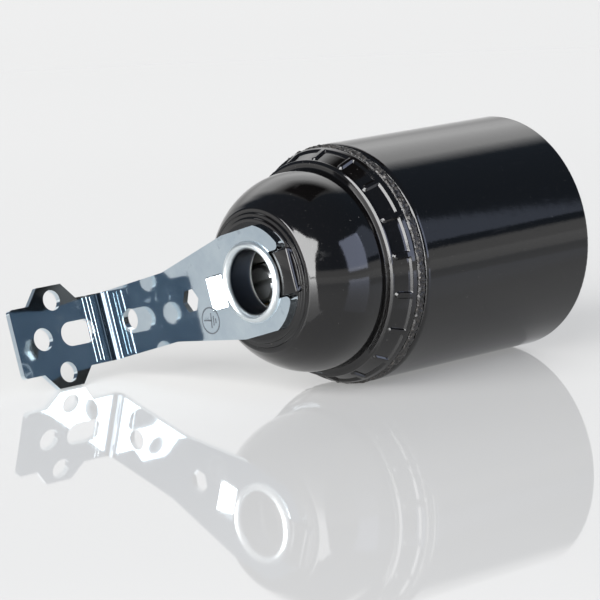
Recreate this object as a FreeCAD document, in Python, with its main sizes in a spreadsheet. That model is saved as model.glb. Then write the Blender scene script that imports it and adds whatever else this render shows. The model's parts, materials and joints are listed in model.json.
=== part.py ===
import FreeCAD, Part
import math
import os
import re

import Sketcher

# An Edison-screw lamp holder lying on its side.  +X runs along the holder to its open
# mouth, +Z is up, and the origin is on the axis where the bracket sits on the cap.
# Every piece is drawn from the bracket's outer face, with the bracket reaching out
# along +Y.  All of them are then moved back by the sheet's thickness and rolled about X
# until the bracket's lower ear touches the surface under the collar.

SIZES = [
    # Sheet-metal bracket
    ("sheet_thickness", 1.0, "bracket sheet"),
    ("bend_radius", 1.0, "inside radius of the bend"),
    ("fork_radius", 9.35, "outer radius of the fork around the rivet"),
    ("fork_gap", 7.7, "opening between the two arms"),
    ("fork_tip_radius", 0.8, "rounding of the arms' ends"),
    ("strap_width", 11.8, "width of the straight strap and end plate"),
    ("taper_end", 21.8, "rivet centre to the end of the fork's taper"),
    ("hex_hole_at", 16.1, "rivet centre to the hexagonal hole"),
    ("hex_hole_across", 3.6, "across the flats of the hexagonal hole"),
    ("round_hole_at", 32.6, "rivet centre to the round hole"),
    ("round_hole_diameter", 3.7, "round hole in the strap"),
    ("bend_at", 38.8, "rivet centre to the inner face of the end plate"),
    ("bend_angle", 90, "degrees"),
    ("end_plate_length", 19.9, "strap's outer face to the free end"),
    ("end_corner_radius", 0.7, "corners of the free end"),
    ("slot_width", 4.15, "slot in the end plate"),
    ("slot_length", 7.3, "slot, end to end, along the plate"),
    ("slot_after", 6.7, "bend to the middle of the slot"),
    ("ear_hole_diameter", 3.5, "hole in each ear"),
    ("ear_hole_spacing", 12.4, "from ear hole to ear hole"),
    ("ear_after", 10.65, "bend to the ear holes"),
    ("ear_span", 17.4, "tip to tip across both ears"),
    ("ear_base", 10.1, "length of an ear at the strap"),
    ("ear_top", 5.2, "length of an ear at its tip"),
    ("end_hole_diameter", 3.9, "hole near the free end"),
    ("end_hole_after", 14.25, "bend to the end hole"),
    ("tab_width", 5.4, "locking tab cut out of the fork"),
    ("tab_slit", 0.15, "slit on both sides of the tab"),
    ("tab_near", 7.2, "rivet centre to the tab's free end"),
    ("tab_far", 11.0, "rivet centre to the tab's root"),
    ("tab_depth", 1.2, "how far the tab's free end is pushed down"),
    # Cap
    ("seat_margin", 0.85, "seat around the fork"),
    ("seat_step", 0.35, "each of the two small steps around the seat"),
    ("seat_rim", 0.9, "seat's edge to the edge of the second step"),
    ("crown_edge", 1.09, "second step to the start of the dome"),
    ("dome_radius", 14.8, "arc of the dome's section"),
    ("dome_inset", 2.17, "collar's outside to the end of the dome"),
    ("collar_flank", 1.3, "end of the dome to the collar's front edge"),
    ("collar_inset", 0.5, "collar below the skirt's outside"),
    ("collar_start", 11.9, "front edge of the collar"),
    ("collar_edge_round", 0.45, "rounding of that edge"),
    ("collar_front_band", 1.05, "front edge of the collar to the panels"),
    ("collar_rear_band", 1.15, "panels to the moulding flash"),
    ("panel_depth", 0.5, "depth of the recessed panels"),
    ("rib_count", 20, "ribs between the panels"),
    ("rib_width", 1.0, "one rib"),
    ("rib_gap", 0.35, "front of the panels to the end of a rib"),
    ("rib_turn", 5.6, "degrees from the bracket to the first rib"),
    ("flash_width", 1.4, "moulding flash at the cap's mouth"),
    ("flash_height", 0.1, "moulding flash above the skirt's outside"),
    ("cap_length", 19.9, "mouth of the cap, from the bracket"),
    ("cap_wall", 2.2, "dome wall"),
    ("cap_mouth_wall", 2.1, "wall of the collar"),
    ("cap_thread_depth", 6.7, "mouth of the cap to the ledge inside"),
    ("crown_thickness", 2.6, "cap wall under the rivet"),
    ("lug_drop", 0.15, "locking lug below the bracket's outer face"),
    ("lug_clearance", 0.1, "locking lug to the fork's arms"),
    # Hollow rivet
    ("cable_bore_radius", 5.2, "cable entry"),
    ("rivet_wall", 0.5, "tube wall of the rivet"),
    ("rivet_clearance", 0.05, "rivet in its holes"),
    ("rivet_head_radius", 6.75, "rolled head"),
    ("rivet_crest_radius", 5.9, "crest of the rolled head"),
    ("rivet_flare", 0.5, "depth where the flare runs into the bore"),
    ("washer_radius", 8.0, "washer inside the cap"),
    ("washer_thickness", 0.8, "washer inside the cap"),
    # Skirt
    ("skirt_radius", 20.0, "outside of the skirt"),
    ("holder_length", 59.0, "bracket face to the mouth"),
    ("shoulder_gap", 0.15, "cap's mouth to the skirt's shoulder"),
    ("shoulder_round", 0.9, "rounded shoulder of the skirt"),
    ("rim_round", 0.6, "rounded rim of the mouth"),
    ("neck_clearance", 0.3, "skirt's neck in the cap"),
    ("neck_wall", 1.5, "wall of the neck, around the chamber"),
    ("skirt_wall", 2.3, "wall of the mouth"),
    ("mouth_depth", 11.5, "rim to the ledge before the thread"),
    ("lead_in_radius", 14.4, "wide end of the lead-in cone"),
    ("lead_in_depth", 1.4, "length of the lead-in cone"),
    ("thread_core_radius", 12.45, "crest of the lamp thread"),
    ("chamber_depth", 10.4, "insert's front face to the end of the thread"),
    ("chamber_cone", 2.2, "length of the cone behind the thread"),
    # Insert
    ("flange_thickness", 2.0, "insert's clamping flange"),
    ("flange_clearance", 0.25, "flange in the cap's bore"),
    ("insert_clearance", 0.6, "insert in the skirt's neck"),
    ("insert_rear_step", 0.4, "rear part of the insert, below the front part"),
    ("insert_rear", 1.7, "insert behind the ledge"),
    ("insert_length", 14.0, "rear face to front face"),
    ("insert_edge", 0.8, "chamfer of the front edge"),
    ("terminal_inset", 6.5, "insert's outside to the middle of each terminal"),
    ("terminal_width", 6.6, "square terminal block"),
    ("terminal_length", 7.2, "length of a terminal block"),
    ("terminal_sunk", 0.3, "block below the insert's rear face"),
    ("terminal_clearance", 0.2, "block in its pocket"),
    ("screw_radius", 1.75, "shank of the terminal screws"),
    ("screw_clearance", 0.05, "shank in its hole"),
    ("screw_length", 4.6, "shank below the head"),
    ("screw_head_radius", 3.1, "head of the terminal screws"),
    ("screw_head_height", 1.9, "head of the terminal screws"),
    ("screw_slot_width", 0.9, "driver slot"),
    ("screw_slot_depth", 0.9, "driver slot"),
    ("clamp_thickness", 0.8, "clamp washer on the wire"),
    ("clamp_width", 6.4, "clamp washer on the wire"),
    ("contact_screw_radius", 1.4, "shank of the contact screws"),
    ("contact_screw_length", 9.4, "shank below the head"),
    ("contact_head_radius", 2.5, "head of the contact screws"),
    ("contact_head_height", 1.3, "head of the contact screws"),
    ("lock_washer_radius", 2.4, "washer under a contact screw's head"),
    ("lock_washer_thickness", 0.5, "washer under a contact screw's head"),
    # Contacts
    ("strip_thickness", 0.5, "spring bronze strip"),
    ("strip_width", 5.0, "spring bronze strip"),
    ("foot_reach", 3.0, "screw centre to the end of a foot"),
    ("leaf_foot", 2.7, "screw centre to the centre leaf's bend"),
    ("leaf_crest", 0.0, "axis to the centre leaf's crest"),
    ("leaf_tip", 3.4, "how far the leaf's tip passes the axis"),
    ("leaf_rise", 2.6, "crest above the insert"),
    ("leaf_tip_drop", 1.0, "tip below the crest"),
    ("button_radius", 2.0, "contact button on the leaf"),
    ("button_height", 0.7, "button above the leaf"),
    ("button_shank", 0.9, "radius of the button's shank"),
    ("button_seat", 0.05, "head of the button above the leaf"),
    ("finger_clearance", 1.4, "side finger's outer face to the neck's bore"),
    ("finger_length", 8.8, "side finger above the insert"),
    ("finger_bump", 1.1, "how far the finger leans in"),
    ("finger_bump_at", 6.6, "the bump above the insert"),
    ("finger_bump_half", 1.9, "half the length of the bump"),
]

DOC = FreeCAD.newDocument("lamp_holder")
SHEET = DOC.addObject("Spreadsheet::Sheet", "sizes")
for row, (alias, amount, meaning) in enumerate(SIZES, start=1):
    SHEET.set("A%d" % row, meaning)
    SHEET.set("B%d" % row, str(amount))
    SHEET.setAlias("B%d" % row, alias)
DOC.recompute()


def linked(formula):
    """The formula with each size's name pointing at its cell."""
    return re.sub(r"\b[a-z]+_[a-z_]+\b", r"sizes.\g<0>", str(formula))


def number(formula):
    """What the formula comes to now."""
    return float(SHEET.evalExpression(linked(formula)))


# Where the pieces meet, along the holder and out from its axis.
COLLAR_RADIUS = "(skirt_radius - collar_inset)"
FLASH_RADIUS = "(skirt_radius + flash_height)"
CAP_BORE = "(%s - cap_mouth_wall)" % COLLAR_RADIUS
NECK_RADIUS = "(%s - neck_clearance)" % CAP_BORE
NECK_BORE = "(%s - neck_wall)" % NECK_RADIUS
MOUTH_RADIUS = "(skirt_radius - skirt_wall)"
INSERT_RADIUS = "(%s - insert_clearance)" % NECK_BORE
TERMINAL_OFFSET = "(%s - terminal_inset)" % INSERT_RADIUS
LEAF_ROOT = "(%s - leaf_foot)" % TERMINAL_OFFSET
FINGER_RADIUS = "(%s - finger_clearance)" % NECK_BORE
CAP_LEDGE = "(cap_length - cap_thread_depth)"
INSERT_REAR = "(%s - insert_rear)" % CAP_LEDGE
INSERT_FRONT = "(%s + insert_length)" % INSERT_REAR
FLASH_START = "(cap_length - flash_width)"
PANEL_START = "(collar_start + collar_front_band)"
PANEL_END = "(%s - collar_rear_band)" % FLASH_START
SEAT = "sheet_thickness"
SEAT_RADIUS = "(fork_radius + seat_margin)"
STEP_RADIUS = "(%s + seat_rim)" % SEAT_RADIUS
CROWN_INSIDE = "(%s + crown_thickness)" % SEAT
WASHER_BACK = "(%s + washer_thickness)" % CROWN_INSIDE
RIVET_RADIUS = "(cable_bore_radius + rivet_wall)"
RIVET_HOLE = "(%s + rivet_clearance)" % RIVET_RADIUS
CROWN = "(%s + 2 * seat_step)" % SEAT
FLANGE_FRONT = "(%s + flange_thickness)" % CAP_LEDGE
SHOULDER = "(cap_length + shoulder_gap)"
LEDGE = "(holder_length - mouth_depth)"
THREAD_END = "(%s + chamber_depth)" % INSERT_FRONT
BLOCK_REAR = "(%s + terminal_sunk)" % INSERT_REAR
BLOCK_FRONT = "(%s + terminal_length)" % BLOCK_REAR
CLAMP_REAR = "(%s - clamp_thickness)" % BLOCK_REAR
FOOT_FRONT = "(%s + strip_thickness)" % INSERT_FRONT
LOCK_FRONT = "(%s + lock_washer_thickness)" % FOOT_FRONT

# The arc of the dome, through the edge of the crown and the foot of the collar.
DOME_START = (CROWN, "(%s + crown_edge)" % STEP_RADIUS)
DOME_END = ("(collar_start - collar_flank)", "(%s - dome_inset)" % COLLAR_RADIUS)
DOME_RUN = "(%s - %s)" % (DOME_END[0], DOME_START[0])
DOME_RISE = "(%s - %s)" % (DOME_END[1], DOME_START[1])
DOME_CHORD = "sqrt(%s^2 + %s^2)" % (DOME_RUN, DOME_RISE)
DOME_SAG = "(sqrt(dome_radius^2 - (%s / 2)^2) / %s)" % (DOME_CHORD, DOME_CHORD)
DOME_CENTRE = (
    "((%s + %s) / 2 + %s * %s)" % (DOME_START[0], DOME_END[0], DOME_SAG, DOME_RISE),
    "((%s + %s) / 2 - %s * %s)" % (DOME_START[1], DOME_END[1], DOME_SAG, DOME_RUN),
)

# The roll that puts the lower ear on the surface under the collar.
EAR_OUT = "(bend_at + (ear_after + ear_top / 2) * cos(bend_angle) + sheet_thickness * sin(bend_angle))"
EAR_REACH = "sqrt(%s^2 + (ear_span / 2)^2)" % EAR_OUT
ROLL = "(asin(%s / %s) - atan2(ear_span / 2; %s))" % (FLASH_RADIUS, EAR_REACH, EAR_OUT)


def new_body(name):
    """A body in the holder's frame, rolled with the rest of the holder."""
    body = DOC.addObject("PartDesign::Body", name)
    body.Label = name
    body.Placement = FreeCAD.Placement(FreeCAD.Vector(0, 0, 0), FreeCAD.Rotation(FreeCAD.Vector(1, 0, 0), -1))
    body.setExpression("Placement.Base.x", linked("-sheet_thickness"))
    body.setExpression("Placement.Rotation.Angle", linked("-" + ROLL))
    return body


def new_sketch(body, name, plane, shift=("0", "0", "0"), turn="0", about=(0, 1, 0)):
    """A sketch on one of the body's origin planes, moved and turned by formulas."""
    sketch = body.newObject("Sketcher::SketchObject", body.Name + "_" + name)
    support = [feature for feature in body.Origin.OriginFeatures if feature.Role == plane][0]
    sketch.AttachmentSupport = (support, [""])
    sketch.MapMode = "FlatFace"
    angle = number(turn)
    place = FreeCAD.Vector(*[number(part) for part in shift])
    sketch.AttachmentOffset = FreeCAD.Placement(place, FreeCAD.Rotation(FreeCAD.Vector(*about), angle))
    for part, axis in zip(shift, "xyz"):
        if part != "0":
            sketch.setExpression("AttachmentOffset.Base." + axis, linked(part))
    if turn != "0":
        sketch.setExpression("AttachmentOffset.Rotation.Angle", linked(turn))
    return sketch


def pin(sketch, geometry, point, kind, formula):
    """Hold one coordinate of a point at what the formula says."""
    value = number(formula)
    index = sketch.addConstraint(Sketcher.Constraint(kind, geometry, point, value))
    sketch.setExpression("Constraints[%d]" % index, linked(formula))


def add_loop(sketch, corners):
    """A closed loop.  A corner is (across, up), or (across, up, centre_across, centre_up)
    where an arc about that centre leads to it.  The first corner ends a straight edge."""
    spots = [FreeCAD.Vector(number(corner[0]), number(corner[1]), 0) for corner in corners]
    ends = []
    for index in range(len(corners)):
        following = (index + 1) % len(corners)
        start = spots[index]
        end = spots[following]
        corner = corners[following]
        if len(corner) == 2:
            geometry = sketch.addGeometry(Part.LineSegment(start, end), False)
            ends.append((geometry, 1, 2))
            continue
        centre = FreeCAD.Vector(number(corner[2]), number(corner[3]), 0)
        first = math.atan2(start.y - centre.y, start.x - centre.x)
        last = math.atan2(end.y - centre.y, end.x - centre.x)
        sweep = (last - first + math.pi) % (2 * math.pi) - math.pi
        circle = Part.Circle(centre, FreeCAD.Vector(0, 0, 1), (start - centre).Length)
        low, high = (first, first + sweep) if sweep > 0 else (last, last - sweep)
        geometry = sketch.addGeometry(Part.ArcOfCircle(circle, low, high), False)
        ends.append((geometry, 1, 2) if sweep > 0 else (geometry, 2, 1))
        pin(sketch, geometry, 3, "DistanceX", corner[2])
        pin(sketch, geometry, 3, "DistanceY", corner[3])
    for index in range(len(corners)):
        following = (index + 1) % len(corners)
        geometry, _, tail = ends[index]
        next_geometry, head, _ = ends[following]
        sketch.addConstraint(Sketcher.Constraint("Coincident", geometry, tail, next_geometry, head))
        corner = corners[following]
        if len(corner) == 2:
            pin(sketch, geometry, tail, "DistanceX", corner[0])
            pin(sketch, geometry, tail, "DistanceY", corner[1])
            continue
        centre = FreeCAD.Vector(number(corner[2]), number(corner[3]), 0)
        spoke = spots[following] - centre
        if abs(spoke.y) > abs(spoke.x):
            pin(sketch, geometry, tail, "DistanceX", corner[0])
        else:
            pin(sketch, geometry, tail, "DistanceY", corner[1])


def add_circle(sketch, across, up, radius):
    """A circle held by its centre and radius."""
    centre = FreeCAD.Vector(number(across), number(up), 0)
    circle = Part.Circle(centre, FreeCAD.Vector(0, 0, 1), number(radius))
    geometry = sketch.addGeometry(circle, False)
    pin(sketch, geometry, 3, "DistanceX", across)
    pin(sketch, geometry, 3, "DistanceY", up)
    index = sketch.addConstraint(Sketcher.Constraint("Radius", geometry, number(radius)))
    sketch.setExpression("Constraints[%d]" % index, linked(radius))


def box_corners(left, right, low, high):
    return [(left, low), (right, low), (right, high), (left, high)]


def turned(body, name, corners, out="0"):
    """A solid of revolution about the holder's axis, or about a line beside it at a
    distance out: corners are (along, out)."""
    sketch = new_sketch(body, name + "_section", "XY_Plane", shift=("0", out, "0"))
    add_loop(sketch, corners)
    feature = body.newObject("PartDesign::Revolution", body.Name + "_" + name)
    feature.Profile = sketch
    feature.ReferenceAxis = (sketch, ["H_Axis"])
    feature.Angle = 360
    return feature


def padded(body, name, sketch, width):
    """A pad of the side view, half to each side."""
    feature = body.newObject("PartDesign::Pad", body.Name + "_" + name)
    feature.Profile = sketch
    feature.SideType = "Symmetric"
    feature.Length = number(width)
    feature.setExpression("Length", linked(width))
    return feature


def cut_through(body, name, sketch):
    """A pocket right through, to both sides of its sketch."""
    feature = body.newObject("PartDesign::Pocket", body.Name + "_" + name)
    feature.Profile = sketch
    feature.SideType = "Symmetric"
    feature.Type = "ThroughAll"
    return feature


def cut_along(body, name, sketch, depth, reverse):
    """A pocket of a given depth from its sketch."""
    feature = body.newObject("PartDesign::Pocket", body.Name + "_" + name)
    feature.Profile = sketch
    feature.Length = number(depth)
    feature.setExpression("Length", linked(depth))
    feature.Reversed = reverse
    return feature


def cut_both_ways(body, name, sketch, depth):
    """A pocket of a given total depth, half to each side of its sketch."""
    feature = cut_along(body, name, sketch, depth, False)
    feature.SideType = "Symmetric"
    return feature


def check_cut(feature):
    """The cut has to take something away."""
    DOC.recompute()
    before = feature.BaseFeature.Shape.Volume
    if feature.Shape.Volume > before - 1e-6:
        raise RuntimeError("%s cuts nothing" % feature.Name)


def bend_corners():
    """The bracket's side view as (along, out): one strip with a rounded bend."""
    centre = ("(-bend_radius)", "(bend_at - bend_radius * tan(bend_angle / 2))")
    outer = "(bend_radius + sheet_thickness)"

    def rim(radius, angle):
        along = "(%s + %s * cos(%s))" % (centre[0], radius, angle)
        return (along, "(%s + %s * sin(%s))" % (centre[1], radius, angle))

    def end(depth):
        return (
            "(%s * cos(bend_angle) - end_plate_length * sin(bend_angle))" % depth,
            "(bend_at + end_plate_length * cos(bend_angle) + %s * sin(bend_angle))" % depth,
        )

    return [
        ("0", "(-fork_radius - 1)"),
        rim("bend_radius", "0"),
        rim("bend_radius", "bend_angle") + centre,
        end("0"),
        end("sheet_thickness"),
        rim(outer, "bend_angle"),
        rim(outer, "0") + centre,
        ("sheet_thickness", "(-fork_radius - 1)"),
    ]


def make_bracket():
    """Pressed sheet: a fork around the rivet, a strap and an end plate with ears."""
    body = new_body("mounting_bracket")
    side = new_sketch(body, "side", "XY_Plane")
    add_loop(side, bend_corners())
    padded(body, "strip", side, "ear_span")

    # Fork and strap, blanked along the holder's axis.
    half = "(strap_width / 2)"
    touch = "(acos(fork_radius / sqrt(taper_end^2 + (%s)^2)) + atan2(%s; taper_end))" % (half, half)
    tangent = ("(fork_radius * cos(%s))" % touch, "(fork_radius * sin(%s))" % touch)
    strap_end = "(bend_at - 2 * bend_radius)"
    arm = "(fork_gap / 2)"
    tip_out = "(fork_radius - fork_tip_radius)"
    tip_up = "(%s + fork_tip_radius)" % arm
    tip_across = "(-sqrt(%s^2 - %s^2))" % (tip_out, tip_up)
    tip_touch = tuple("(%s * fork_radius / %s)" % (part, tip_out) for part in (tip_across, tip_up))
    deep = "(-fork_radius * 0.2)"
    far = "(-fork_radius - 2)"
    side = "ear_span"
    blank = new_sketch(body, "blank", "YZ_Plane")
    add_loop(blank, [
        (strap_end, half),
        (strap_end, side),
        (far, side),
        (far, "-" + side),
        (strap_end, "-" + side),
        (strap_end, "-" + half),
        ("taper_end", "-" + half),
        (tangent[0], "-" + tangent[1]),
        ("0", "-fork_radius", "0", "0"),
        (tip_touch[0], "-" + tip_touch[1], "0", "0"),
        (tip_across, "-" + arm, tip_across, "-" + tip_up),
        (deep, "-" + arm),
        (deep, arm),
        (tip_across, arm),
        (tip_touch[0], tip_touch[1], tip_across, tip_up),
        ("0", "fork_radius", "0", "0"),
        tangent + ("0", "0"),
        ("taper_end", half),
    ])
    check_cut(cut_through(body, "blanking", blank))

    # Ears and strap edge of the end plate, blanked square to the plate.
    plate = dict(shift=("bend_at", "0", "0"), turn="bend_angle")
    depth = "(6 * (bend_radius + sheet_thickness))"
    tip = "(ear_span / 2)"
    low = "(-2 * sheet_thickness)"
    past = "(end_plate_length + sheet_thickness)"
    for name, sign in (("upper", ""), ("lower", "-")):
        near = new_sketch(body, name + "_ear_near", "YZ_Plane", **plate)
        add_loop(near, [
            (low, sign + "(strap_width / 2)"),
            ("(ear_after - ear_base / 2)", sign + "(strap_width / 2)"),
            ("(ear_after - ear_top / 2)", sign + tip),
            (low, sign + tip),
        ])
        check_cut(cut_both_ways(body, name + "_ear_near_cut", near, depth))
        far = new_sketch(body, name + "_ear_far", "YZ_Plane", **plate)
        corner = "(end_plate_length - end_corner_radius)"
        middle = "(strap_width / 2 - end_corner_radius)"
        add_loop(far, [
            (past, sign + middle),
            ("end_plate_length", sign + middle),
            (corner, sign + "(strap_width / 2)", corner, sign + middle),
            ("(ear_after + ear_base / 2)", sign + "(strap_width / 2)"),
            ("(ear_after + ear_top / 2)", sign + tip),
            (past, sign + tip),
        ])
        check_cut(cut_both_ways(body, name + "_ear_far_cut", far, depth))

    # Holes in the end plate.
    for name, across, up, diameter in (
        ("upper_ear_hole", "ear_after", "ear_hole_spacing / 2", "ear_hole_diameter"),
        ("lower_ear_hole", "ear_after", "-ear_hole_spacing / 2", "ear_hole_diameter"),
        ("end_hole", "end_hole_after", "0", "end_hole_diameter"),
    ):
        hole = new_sketch(body, name, "YZ_Plane", **plate)
        add_circle(hole, across, up, diameter + " / 2")
        check_cut(cut_through(body, name + "_cut", hole))
    slot = new_sketch(body, "slot", "YZ_Plane", **plate)
    near = "(slot_after - slot_length / 2 + slot_width / 2)"
    far = "(slot_after + slot_length / 2 - slot_width / 2)"
    side = "(slot_width / 2)"
    add_loop(slot, [
        (far, "-" + side),
        ("(slot_after + slot_length / 2)", "0", far, "0"),
        (far, side, far, "0"),
        (near, side),
        ("(slot_after - slot_length / 2)", "0", near, "0"),
        (near, "-" + side, near, "0"),
    ])
    check_cut(cut_through(body, "slot_cut", slot))

    # Holes in the strap.
    hole = new_sketch(body, "round_hole", "YZ_Plane")
    add_circle(hole, "round_hole_at", "0", "round_hole_diameter / 2")
    check_cut(cut_through(body, "round_hole_cut", hole))
    hexagon = new_sketch(body, "hex_hole", "YZ_Plane")
    point = "hex_hole_across / sqrt(3)"
    flat = "hex_hole_across / 2"
    add_loop(hexagon, [
        ("(hex_hole_at + %s)" % point, "0"),
        ("(hex_hole_at + %s / 2)" % point, "(%s)" % flat),
        ("(hex_hole_at - %s / 2)" % point, "(%s)" % flat),
        ("(hex_hole_at - %s)" % point, "0"),
        ("(hex_hole_at - %s / 2)" % point, "(-%s)" % flat),
        ("(hex_hole_at + %s / 2)" % point, "(-%s)" % flat),
    ])
    check_cut(cut_through(body, "hex_hole_cut", hexagon))

    # Rivet hole, and the locking tab pushed down out of the fork.
    hole = new_sketch(body, "rivet_hole", "YZ_Plane")
    add_circle(hole, "0", "0", RIVET_HOLE)
    check_cut(cut_through(body, "rivet_hole_cut", hole))
    window = new_sketch(body, "tab_window", "YZ_Plane")
    edge = "(tab_width / 2 + tab_slit)"
    add_loop(window, box_corners("(tab_near - tab_slit)", "tab_far", "-" + edge, edge))
    check_cut(cut_through(body, "tab_opening", window))
    tab = new_sketch(body, "tab_side", "XY_Plane")
    root = "(tab_far + tab_slit)"
    add_loop(tab, [
        ("0", root),
        ("0", "tab_far"),
        ("tab_depth", "tab_near"),
        ("(tab_depth + sheet_thickness)", "tab_near"),
        ("sheet_thickness", "tab_far"),
        ("sheet_thickness", root),
    ])
    padded(body, "tab", tab, "tab_width")
    return body


def make_cap():
    """Moulded cap: domed crown with a seat, panelled grip collar and flash at its mouth."""
    body = new_body("cap")
    collar_front = "(collar_start + collar_edge_round)"
    collar_top = "(%s - collar_edge_round)" % COLLAR_RADIUS
    panel_floor = "(%s - panel_depth)" % COLLAR_RADIUS
    inner = "(dome_radius - cap_wall)"
    inner_foot = "(%s + sqrt(%s^2 - (%s - %s)^2))" % (DOME_CENTRE[1], inner, CAP_LEDGE, DOME_CENTRE[0])
    inner_top = "(%s + sqrt(%s^2 - (%s - %s)^2))" % (DOME_CENTRE[1], inner, CROWN_INSIDE, DOME_CENTRE[0])
    turned(body, "shell", [
        (SEAT, RIVET_HOLE),
        (SEAT, SEAT_RADIUS),
        ("(%s + seat_step)" % SEAT, "(%s + seat_step / 2)" % SEAT_RADIUS),
        ("(%s + seat_step)" % SEAT, STEP_RADIUS),
        (CROWN, "(%s + seat_step / 2)" % STEP_RADIUS),
        DOME_START,
        DOME_END + DOME_CENTRE,
        ("collar_start", collar_top),
        (collar_front, COLLAR_RADIUS, collar_front, collar_top),
        (PANEL_START, COLLAR_RADIUS),
        (PANEL_START, panel_floor),
        (PANEL_END, panel_floor),
        (PANEL_END, COLLAR_RADIUS),
        (FLASH_START, COLLAR_RADIUS),
        (FLASH_START, FLASH_RADIUS),
        ("cap_length", FLASH_RADIUS),
        ("cap_length", CAP_BORE),
        (CAP_LEDGE, CAP_BORE),
        (CAP_LEDGE, inner_foot),
        (CROWN_INSIDE, inner_top) + DOME_CENTRE,
        (CROWN_INSIDE, RIVET_HOLE),
    ])

    # Lug between the fork's arms.
    lug = new_sketch(body, "lug_side", "XY_Plane")
    near = "(-sqrt(%s^2 - (fork_gap / 2)^2))" % RIVET_HOLE
    add_loop(lug, box_corners("lug_drop", CROWN, "(seat_step - %s)" % SEAT_RADIUS, near))
    padded(body, "lug", lug, "(fork_gap - 2 * lug_clearance)")
    bore = new_sketch(body, "bore", "YZ_Plane")
    add_circle(bore, "0", "0", RIVET_HOLE)
    check_cut(cut_through(body, "bore_cut", bore))

    # Recess that takes the bracket's locking tab.
    recess = new_sketch(body, "recess_side", "XY_Plane")
    floor = "(%s + tab_depth + lug_clearance)" % SEAT
    add_loop(recess, box_corners("0", floor, "(tab_near - tab_slit)", "(tab_far + tab_slit)"))
    check_cut(cut_both_ways(body, "tab_recess", recess, "(tab_width + 2 * tab_slit)"))

    # Ribs between the panels.
    rib = new_sketch(body, "rib_side", "XY_Plane", turn="rib_turn", about=(1, 0, 0))
    overlap = "rib_width / 4"
    add_loop(rib, box_corners(
        "(%s + rib_gap)" % PANEL_START, "(%s + %s)" % (PANEL_END, overlap),
        "(%s - %s)" % (panel_floor, overlap), "sqrt(%s^2 - (rib_width / 2)^2)" % COLLAR_RADIUS))
    pad = padded(body, "rib", rib, "rib_width")
    around = body.newObject("PartDesign::PolarPattern", "cap_ribs")
    around.Originals = [pad]
    around.Axis = (body.Origin.OriginFeatures[0], [""])
    around.Angle = 360
    around.Occurrences = int(number("rib_count"))
    around.setExpression("Occurrences", linked("rib_count"))
    body.Tip = around
    return body


def make_rivet():
    """Hollow rivet that clamps bracket, cap and washer; its bore is the cable entry."""
    body = new_body("hollow_rivet")
    head = "(rivet_head_radius - rivet_crest_radius)"
    rise = "(rivet_crest_radius - cable_bore_radius)"
    drop = "(rivet_flare + %s)" % head
    flare = "(cable_bore_radius + (%s^2 + %s^2) / (2 * %s))" % (drop, rise, rise)
    back_mouth = "(%s - rivet_flare)" % WASHER_BACK
    turned(body, "tube", [
        ("0", RIVET_RADIUS),
        (WASHER_BACK, RIVET_RADIUS),
        (WASHER_BACK, "rivet_head_radius"),
        ("(%s + %s)" % (WASHER_BACK, head), "rivet_crest_radius", WASHER_BACK, "rivet_crest_radius"),
        (back_mouth, "cable_bore_radius", back_mouth, flare),
        ("rivet_flare", "cable_bore_radius"),
        ("(-%s)" % head, "rivet_crest_radius", "rivet_flare", flare),
        ("0", "rivet_head_radius", "0", "rivet_crest_radius"),
    ])
    return body


def make_washer():
    """Washer under the rolled end of the rivet, inside the cap."""
    body = new_body("rivet_washer")
    turned(body, "disc", box_corners(CROWN_INSIDE, WASHER_BACK, RIVET_HOLE, "washer_radius"))
    return body


def make_skirt():
    """Moulded skirt: threaded neck, smooth outside, deep mouth and Edison thread."""
    body = new_body("skirt")
    shoulder_end = "(%s + shoulder_round)" % SHOULDER
    rim_start = "(holder_length - rim_round)"
    rim_inner = "(%s + rim_round)" % MOUTH_RADIUS
    turned(body, "shell", [
        (FLANGE_FRONT, NECK_BORE),
        (FLANGE_FRONT, NECK_RADIUS),
        (SHOULDER, NECK_RADIUS),
        (SHOULDER, "(skirt_radius - shoulder_round)"),
        (shoulder_end, "skirt_radius", shoulder_end, "(skirt_radius - shoulder_round)"),
        (rim_start, "skirt_radius"),
        ("holder_length", "(skirt_radius - rim_round)", rim_start, "(skirt_radius - rim_round)"),
        ("holder_length", rim_inner),
        (rim_start, MOUTH_RADIUS, rim_start, rim_inner),
        (LEDGE, MOUTH_RADIUS),
        (LEDGE, "lead_in_radius"),
        ("(%s - lead_in_depth)" % LEDGE, "thread_core_radius"),
        (THREAD_END, "thread_core_radius"),
        ("(%s - chamber_cone)" % THREAD_END, NECK_BORE),
    ])
    return body


def make_insert():
    """Insert that carries the contacts: a clamping flange, two terminal pockets and
    a stepped hole for each contact screw."""
    body = new_body("contact_insert")
    flange = "(%s - flange_clearance)" % CAP_BORE
    rear = "(%s - insert_rear_step)" % INSERT_RADIUS
    turned(body, "blank", [
        (INSERT_REAR, "0"),
        (INSERT_FRONT, "0"),
        (INSERT_FRONT, "(%s - insert_edge)" % INSERT_RADIUS),
        ("(%s - insert_edge)" % INSERT_FRONT, INSERT_RADIUS),
        (FLANGE_FRONT, INSERT_RADIUS),
        (FLANGE_FRONT, flange),
        (CAP_LEDGE, flange),
        (CAP_LEDGE, rear),
        (INSERT_REAR, rear),
    ])
    half = "(terminal_width / 2 + terminal_clearance)"
    for name, sign in (("line", ""), ("neutral", "-")):
        offset = sign + TERMINAL_OFFSET
        pocket = new_sketch(body, name + "_pocket", "YZ_Plane", shift=("0", "0", INSERT_REAR))
        add_loop(pocket, box_corners(
            "(%s - %s)" % (offset, half), "(%s + %s)" % (offset, half), "-" + half, half))
        depth = "(%s - %s)" % (BLOCK_FRONT, INSERT_REAR)
        check_cut(cut_along(body, name + "_pocket_cut", pocket, depth, True))
        hole = new_sketch(body, name + "_hole", "YZ_Plane", shift=("0", "0", INSERT_REAR))
        add_circle(hole, offset, "0", "(contact_screw_radius + screw_clearance)")
        check_cut(cut_along(body, name + "_hole_cut", hole, "insert_length", True))
    return body


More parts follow.
